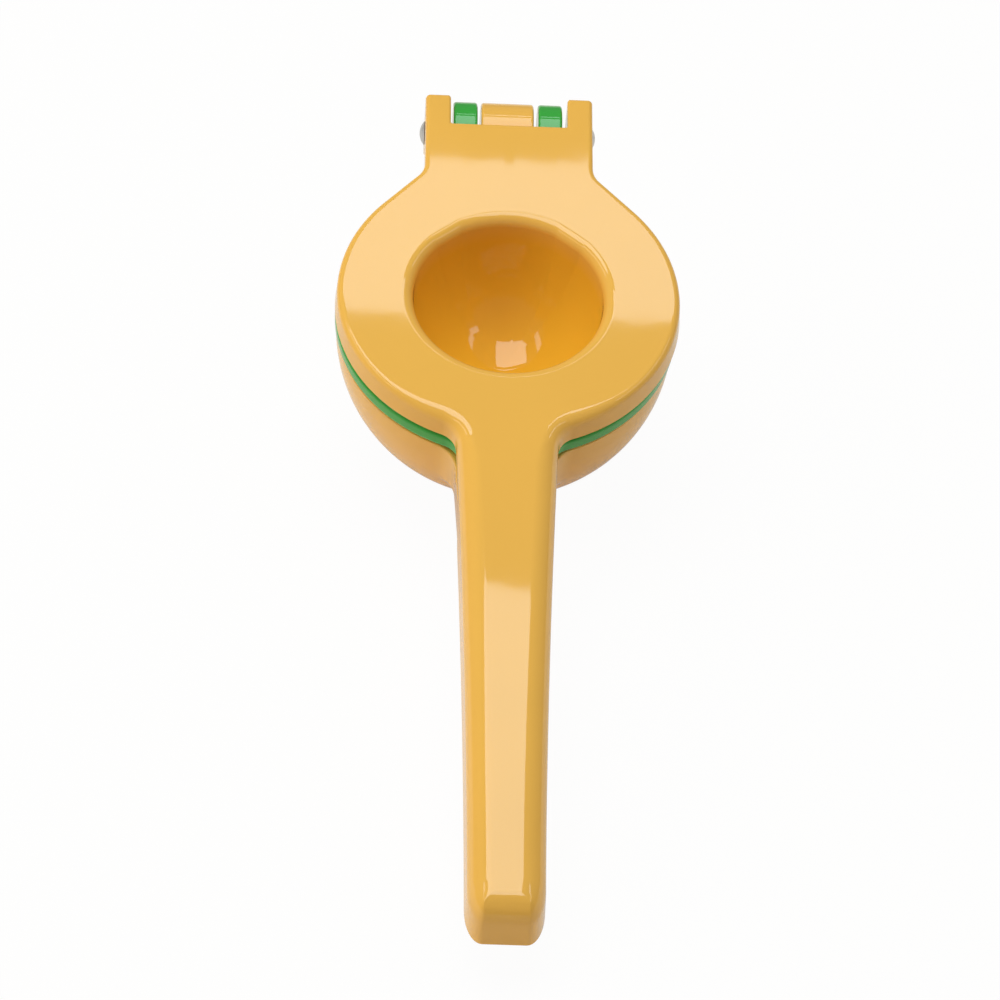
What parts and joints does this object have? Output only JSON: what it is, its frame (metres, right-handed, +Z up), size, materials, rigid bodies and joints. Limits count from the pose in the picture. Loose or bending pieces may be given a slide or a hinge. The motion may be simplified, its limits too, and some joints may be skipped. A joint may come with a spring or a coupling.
{
  "type": "lemon squeezer",
  "caption": "Hinged hand squeezer: a dished press arm, a middle cup with a short lifting tab and a perforated bowl arm turn on one pin; long channel handles squeeze half a fruit.",
  "frame": {"origin": "middle of the flat foot under the bowl", "axes": "+Z up from the table, as the shut tool lies on its foot's rim and its lower handle's end; +Y along the tool from the handles to the hinge; X along the hinge pin"},
  "size_m": [0.0741, 0.2128, 0.0563],
  "materials": {
    "yellow_enamel": "gloss",
    "green_enamel": "gloss",
    "pin_steel": "satin"
  },
  "bodies": {
    "bowl": {"bowl_arm": "yellow_enamel", "hinge_pin": "pin_steel"},
    "cup": {"middle_cup": "green_enamel"},
    "press": {"press_arm": "yellow_enamel"}
  },
  "joints": [
    {"name": "cup_hinge", "type": "hinge", "parent": "bowl", "child": "cup", "pos_m": [0, 0.04423, 0.04591], "axis": [-1, 0, 0], "range_deg": [0, 90]},
    {"name": "press_hinge", "type": "hinge", "parent": "cup", "child": "press", "pos_m": [0, 0.04423, 0.04591], "axis": [-1, 0, 0], "range_deg": [0, 90]}
  ]
}
